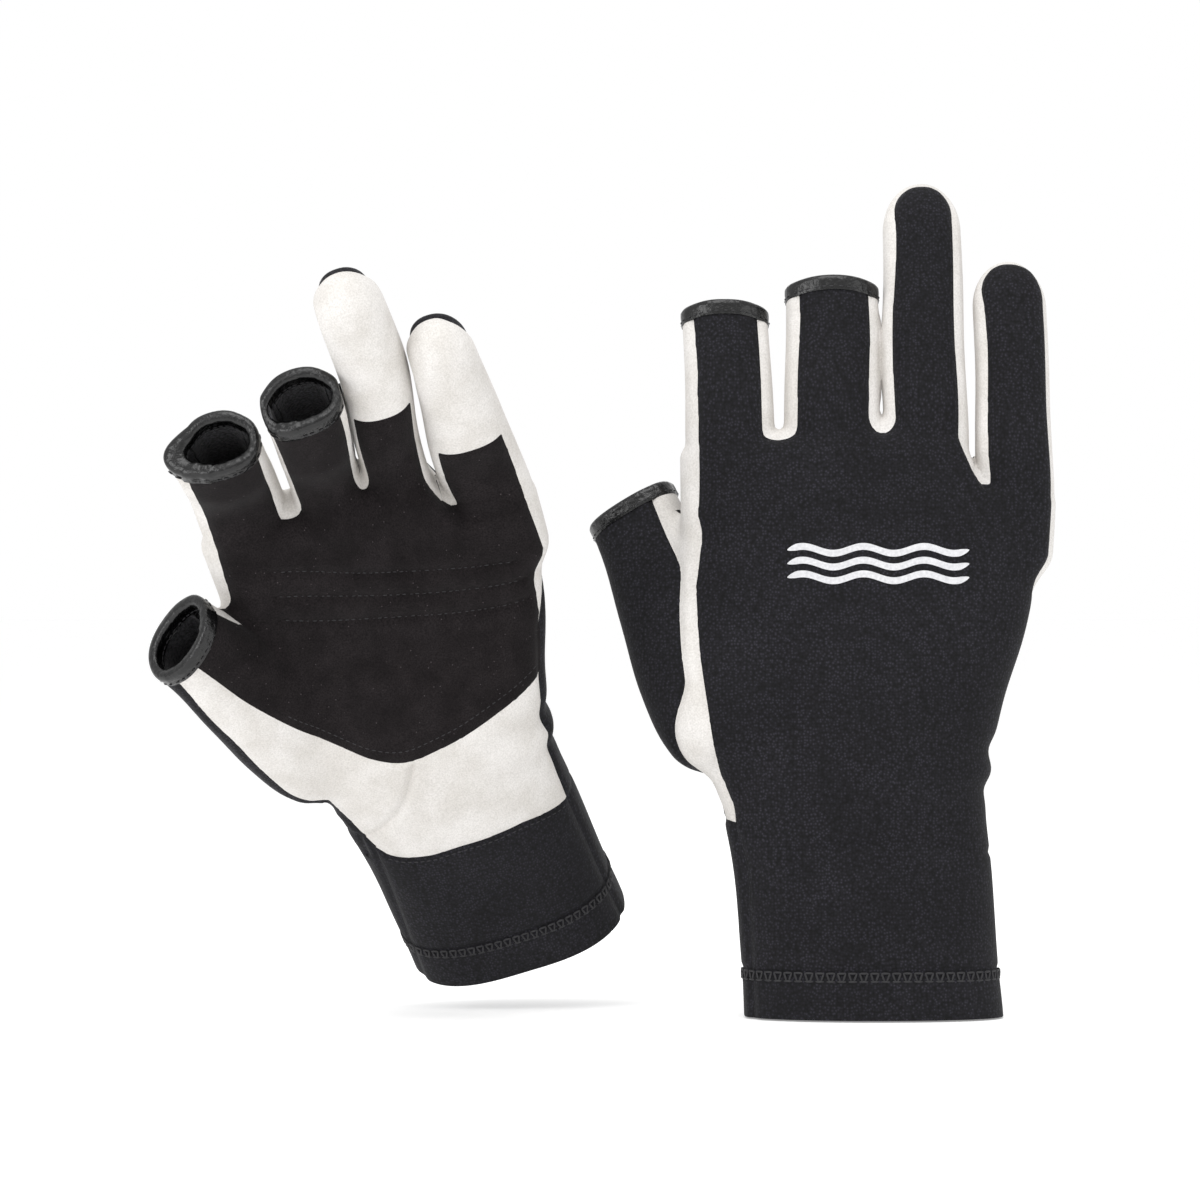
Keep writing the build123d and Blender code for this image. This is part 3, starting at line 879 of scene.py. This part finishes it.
# ---------------------------------------------------------------------------------------------
# Bindings: coated tape folded over each cut edge of the thumb, index and middle stalls, stitched
# through, its end lapped over its start. Its black coating creases and throws narrow highlights;
# the bonded polyester thread through it is a softer, rounder black.
# ---------------------------------------------------------------------------------------------
CREASES = 0.6  # per mm
CREASE_DEPTH = 0.0008
TWIST = 1200.0  # per metre
TAPE_PROFILE = [  # out from the edge, and up along the finger
    (0.0, -4.0), (0.5, -3.95), (0.62, -3.5), (0.55, -2.6), (0.66, -1.2), (0.62, -0.2),
    (0.2, 0.45), (-0.6, 0.7), (-1.6, 0.7), (-2.4, 0.4), (-2.85, -0.3), (-2.8, -1.4),
    (-2.75, -2.6), (-2.8, -3.5), (-2.7, -3.95), (-2.2, -4.0),
]
TAPE_POINTS = 96
LAP = slice(10, 20)
LAP_STANDS = 0.4
TAPE_PITCH = 2.4
STITCH_DROP = 3.0
STITCH_OUTSIDE, STITCH_INSIDE = 0.68, 2.86
STITCH_LENGTH = 1.5
TAPE_STITCH_RADIUS = 0.22

tape_coat = new_material("glossy_coated_tape")
where = add(tape_coat, "ShaderNodeAttribute", attribute_name="cloth").outputs["Vector"]
creases = add(tape_coat, "ShaderNodeTexNoise", {"Vector": where}, Scale=CREASES, Detail=3.0)
relief = add(
    tape_coat, "ShaderNodeBump", {"Height": creases.outputs["Fac"]}, Strength=0.5, Distance=CREASE_DEPTH,
)
tone = add(
    tape_coat, "ShaderNodeValToRGB", {"Fac": creases.outputs["Fac"]}, [(0.3, "#030303"), (0.7, "#0a0a0b")],
)
coated = add(
    tape_coat, "ShaderNodeBsdfPrincipled", {"Base Color": tone.outputs[0], "Normal": relief.outputs[0]},
    **{"Roughness": 0.26, "Specular IOR Level": 0.5},
)
add(tape_coat, "ShaderNodeOutputMaterial", {"Surface": coated.outputs[0]})

thread = new_material("bonded_polyester_thread")
spun = add(thread, "ShaderNodeTexCoord")
twist = add(thread, "ShaderNodeTexWave", {"Vector": spun.outputs["Object"]}, Scale=TWIST)
tone = add(
    thread, "ShaderNodeValToRGB", {"Fac": twist.outputs["Fac"]}, [(0.2, "#0c0b0d"), (0.8, "#232226")],
)
lay = add(thread, "ShaderNodeBsdfPrincipled", {"Base Color": tone.outputs[0]}, **{"Roughness": 0.6})
add(thread, "ShaderNodeOutputMaterial", {"Surface": lay.outputs[0]})


def open_loops(faces, kept):
    """The rings of edges where kept faces meet removed ones, as ordered lists of points."""
    size = faces.max() + 1
    held, gone = (
        np.concatenate([side_of[:, [0, 1]], side_of[:, [1, 2]], side_of[:, [2, 0]]])
        for side_of in (faces[kept], faces[~kept])
    )
    shared = np.isin(held[:, 0] * size + held[:, 1], gone[:, 1] * size + gone[:, 0])
    after = {int(a): int(b) for a, b in held[shared]}
    loops = []
    while after:
        start = next(iter(after))
        loop, here = [start], after.pop(start)
        while here != start and here in after:
            loop.append(here)
            here = after.pop(here)
        if len(loop) > 20:
            loops.append(loop)
    return loops


def even_loop(points, count):
    """The same ring with evenly spaced, eased points."""
    ring = np.vstack([points, points[:1]])
    walked = np.concatenate([[0], np.cumsum(np.linalg.norm(np.diff(ring, axis=0), axis=1))])
    at = np.linspace(0, walked[-1], count, endpoint=False)
    out = np.stack([np.interp(at, walked, ring[:, k]) for k in range(3)], 1)
    for _ in range(16):
        out = (np.roll(out, 1, 0) + 2 * out + np.roll(out, -1, 0)) / 4
    return out, walked[-1]


def capsules(points, directions, normals, length, radius):
    """Short rounded stitches, pressed a little flat, one per point, in one mesh."""
    rings = [(-0.42, 0.6), (-0.2, 1.0), (0.2, 1.0), (0.42, 0.6)]
    across = unit(np.cross(directions, normals))
    out, faces = [], []
    for p, d, n, w in zip(points, directions, normals, across):
        base = len(out)
        for t, share in rings:
            for k in range(6):
                turn = k * math.pi / 3
                thick = math.cos(turn) * w + 0.7 * math.sin(turn) * n
                out.append(p + d * t * length + radius * share * thick)
        out.append(p - d * 0.5 * length)
        out.append(p + d * 0.5 * length)
        for r in range(3):
            for k in range(6):
                a, b = base + 6 * r + k, base + 6 * r + (k + 1) % 6
                faces.append((a, a + 6, b + 6, b))
        for k in range(6):
            faces.append((base + 24, base + k, base + (k + 1) % 6))
            faces.append((base + 25, base + 18 + (k + 1) % 6, base + 18 + k))
    return np.array(out), faces


def face_outwards(item):
    select_only(item)
    bpy.ops.object.mode_set(mode="EDIT")
    bpy.ops.mesh.select_all(action="SELECT")
    bpy.ops.mesh.normals_make_consistent(inside=False)
    bpy.ops.object.mode_set(mode="OBJECT")
    bpy.ops.object.shade_smooth_by_angle(angle=math.radians(60))


mouths = {}
for loop in open_loops(triangles, panel != "open"):
    points, around = even_loop(skin[loop], TAPE_POINTS)
    centre = points.mean(0)
    if centre[2] > HEM:
        finger = "thumb" if centre[0] < -60 else "index" if centre[0] < INDEX_EDGE else "middle"
        mouths[finger] = (points, around)

lap = np.zeros(TAPE_POINTS)
lap[LAP] = LAP_STANDS
profile = len(TAPE_PROFILE)
tape_faces = []
for i in range(TAPE_POINTS):
    here, after = i * profile, (i + 1) % TAPE_POINTS * profile
    for j in range(profile):
        beside = (j + 1) % profile
        tape_faces.append((here + j, here + beside, after + beside, after + j))

for side in ("right", "left"):
    for finger, (points, around) in mouths.items():
        ahead = unit(np.roll(points, -1, 0) - np.roll(points, 1, 0))
        outward = slope_of(shell_field, points, NEAR)
        outward = unit(outward - ahead * (outward * ahead).sum(1)[:, None])
        up = np.cross(outward, ahead)
        up *= np.sign(up @ (thumb_along if finger == "thumb" else np.array([0, 0, 1.0])))[:, None]
        tape_points = []
        for out, rise in TAPE_PROFILE:
            outs = out + lap * np.sign(out + 1.0) * (rise > -3.95)
            rises = rise + lap * 0.5 * (rise > 0)
            tape_points.append(points + outward * outs[:, None] + up * rises[:, None])
        tape_points = np.stack(tape_points, 1).reshape(-1, 3)
        stitches = int(around / TAPE_PITCH)
        seats = np.floor((np.arange(stitches) + 0.5) * TAPE_POINTS / stitches).astype(int)
        row = points[seats] - up[seats] * STITCH_DROP
        stitch_points, stitch_faces = capsules(
            np.vstack([row + outward[seats] * STITCH_OUTSIDE, row - outward[seats] * STITCH_INSIDE]),
            np.vstack([ahead[seats]] * 2), np.vstack([outward[seats], -outward[seats]]),
            STITCH_LENGTH, TAPE_STITCH_RADIUS,
        )
        both = np.vstack([tape_points, stitch_points])
        faces = tape_faces + [tuple(len(tape_points) + i for i in f) for f in stitch_faces]
        tape = mesh_object(
            f"{side}_{finger}_binding", placed(both, side, finger), faces, [tape_coat, thread],
            [0] * len(tape_faces) + [1] * len(stitch_faces), cloth=both,
        )
        face_outwards(tape)
        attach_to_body(tape, f"{side}_{finger}")
        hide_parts(f"{side}_{finger}_binding")

# ---------------------------------------------------------------------------------------------
# Topstitching on the hand: three quilting rows over the knuckles, a row inside the patch's edge
# and one above the heel seam, and the hem's ladder of cover stitches.
# ---------------------------------------------------------------------------------------------
STITCH_PITCH = 2.2
STITCH_RADIUS = 0.2
QUILT_SINK = -0.8
PATCH_INSET, HEEL_INSET = 4.2, -1.6
HEM_ROW, HEM_PITCH = 12.6, 3.2
HEM_RADIUS = 0.32
PIN_REACH, PIN_STEPS = (45, -10), 221
UP = np.array([0, 0, 1.0])


def onto_shell(x, z, palmward):
    """Where a straight pin pushed in at (x, z) from the palm or back first meets the shell."""
    x, z = np.asarray(x, float), np.asarray(z, float)
    reach = np.linspace(*PIN_REACH, PIN_STEPS) * (1 if palmward else -1)
    value = np.stack([shell_field(x, np.full_like(x, r), z) for r in reach])
    first = np.argmax(value < 0, axis=0)
    low, high = reach[np.maximum(first - 1, 0)], reach[first]
    for _ in range(12):
        half = (low + high) / 2
        inside_now = shell_field(x, half, z) < 0
        high, low = np.where(inside_now, half, high), np.where(inside_now, low, half)
    return np.stack([x, (low + high) / 2, z], 1)


def walk(points, pitch):
    """Evenly spaced points along a line."""
    walked = np.concatenate([[0], np.cumsum(np.linalg.norm(np.diff(points, axis=0), axis=1))])
    at = np.arange(pitch / 2, walked[-1], pitch)
    return np.stack([np.interp(at, walked, points[:, k]) for k in range(3)], 1)


def along_and_out(seats):
    return unit(np.gradient(seats, axis=0)), unit(slope_of(shell_field, seats, NEAR))


rows = []  # seats, directions, normals, stitch length and radius
patch_run, heel_run = np.linspace(-47, 36, 80), np.linspace(-33, 30, 60)
quilt_run = np.linspace(-39, 39, 60)
palm_rows = [(quilt_run, along_line(row, quilt_run), QUILT_SINK) for row in QUILT_ROWS]
palm_rows.append((patch_run, along_line(PATCH_FOOT, patch_run) + PATCH_INSET, 0.05))
palm_rows.append((heel_run, heel_line(heel_run) + HEEL_INSET, -0.1))
for x, z, sink in palm_rows:
    seats = walk(onto_shell(x, z, palmward=True), STITCH_PITCH)
    ahead, outward = along_and_out(seats)
    rows.append((seats + outward * sink, ahead, outward, STITCH_LENGTH, STITCH_RADIUS))

turns = np.linspace(0, 2 * math.pi, 400, endpoint=False)
hem_ring = np.stack([37.0 * np.cos(turns), 19.5 * np.sin(turns), np.full(len(turns), HEM_ROW)], 1)
for _ in range(6):
    slope = slope_of(shell_field, hem_ring)
    hem_ring = hem_ring - (shell_field(*hem_ring.T) / (slope**2).sum(1))[:, None] * slope
    hem_ring[:, 2] = HEM_ROW
seats = walk(np.vstack([hem_ring, hem_ring[:1]]), HEM_PITCH)
ahead, outward = along_and_out(seats)
for rise in (1.1, -1.3):  # the ladder's two rails
    rows.append((seats + UP * rise + outward * 0.1, ahead, outward, 2.6, HEM_RADIUS))
for lean in (1, -1):  # its slanting rungs
    slant = (UP + 0.35 * lean * ahead) / 1.06
    rows.append((seats + 0.8 * lean * ahead + outward * 0.12, slant, outward, 2.7, HEM_RADIUS))

stitch_points, stitch_faces = [], []
for row in rows:
    points, faces = capsules(*row)
    stitch_faces += [tuple(len(stitch_points) + i for i in f) for f in faces]
    stitch_points += list(points)
for side in ("right", "left"):
    stitching = mesh_object(f"{side}_stitching", placed(stitch_points, side), stitch_faces, [thread])
    face_outwards(stitching)
    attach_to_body(stitching, f"{side}_hand")
    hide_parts(f"{side}_stitching")

# ---------------------------------------------------------------------------------------------
# Transfer print on the back: three short wave lines cut from pale grey film and pressed on with
# heat. The film is smooth and satin beside the matt knit, and a little unevenly worn.
# ---------------------------------------------------------------------------------------------
WAVE_HEIGHTS = (128.8, 132.8, 136.8)
WAVE_LEFT, WAVE_RIGHT = -26, 27
WAVE_LENGTH, WAVE_POINTS = 17.7, 90
FILM_STANDS, FILM_THICKNESS = 0.12, 0.15

print_film = new_material("heat_transfer_film")
where = add(print_film, "ShaderNodeAttribute", attribute_name="cloth").outputs["Vector"]
worn = add(print_film, "ShaderNodeTexNoise", {"Vector": where}, Scale=1.2, Detail=3.0)
tone = add(
    print_film, "ShaderNodeValToRGB", {"Fac": worn.outputs["Fac"]}, [(0.3, "#bfbfc2"), (0.7, "#d6d6d8")],
)
film = add(print_film, "ShaderNodeBsdfPrincipled", {"Base Color": tone.outputs[0]}, Roughness=0.55)
add(print_film, "ShaderNodeOutputMaterial", {"Surface": film.outputs[0]})

x = np.linspace(WAVE_LEFT, WAVE_RIGHT, WAVE_POINTS)
half = np.sqrt(np.clip(np.minimum(x - WAVE_LEFT, WAVE_RIGHT - x) / 2.5, 0.02, 1))
waves, wave_faces = [], []
for height in WAVE_HEIGHTS:
    z = height + np.sin((x - WAVE_LEFT) / WAVE_LENGTH * 2 * math.pi)
    strip = [onto_shell(x, z + share * half, palmward=False) for share in np.linspace(-1, 1, 5)]
    strip = np.stack(strip, 1).reshape(-1, 3)
    start = len(waves)
    waves += list(strip + unit(slope_of(shell_field, strip, NEAR)) * FILM_STANDS)
    for i in range(WAVE_POINTS - 1):
        for j in range(4):
            a = start + i * 5 + j
            wave_faces.append((a, a + 1, a + 6, a + 5))

for side in ("right", "left"):
    faces = wave_faces if side == "right" else [f[::-1] for f in wave_faces]
    badge = mesh_object(f"{side}_print", placed(waves, side), faces, [print_film], cloth=waves)
    select_only(badge)
    solid = badge.modifiers.new("film", "SOLIDIFY")
    solid.thickness = FILM_THICKNESS * MM
    solid.offset = 0
    bpy.ops.object.modifier_apply(modifier="film")
    bpy.ops.object.shade_smooth_by_angle(angle=CREASE_ANGLE)
    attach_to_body(badge, f"{side}_hand")
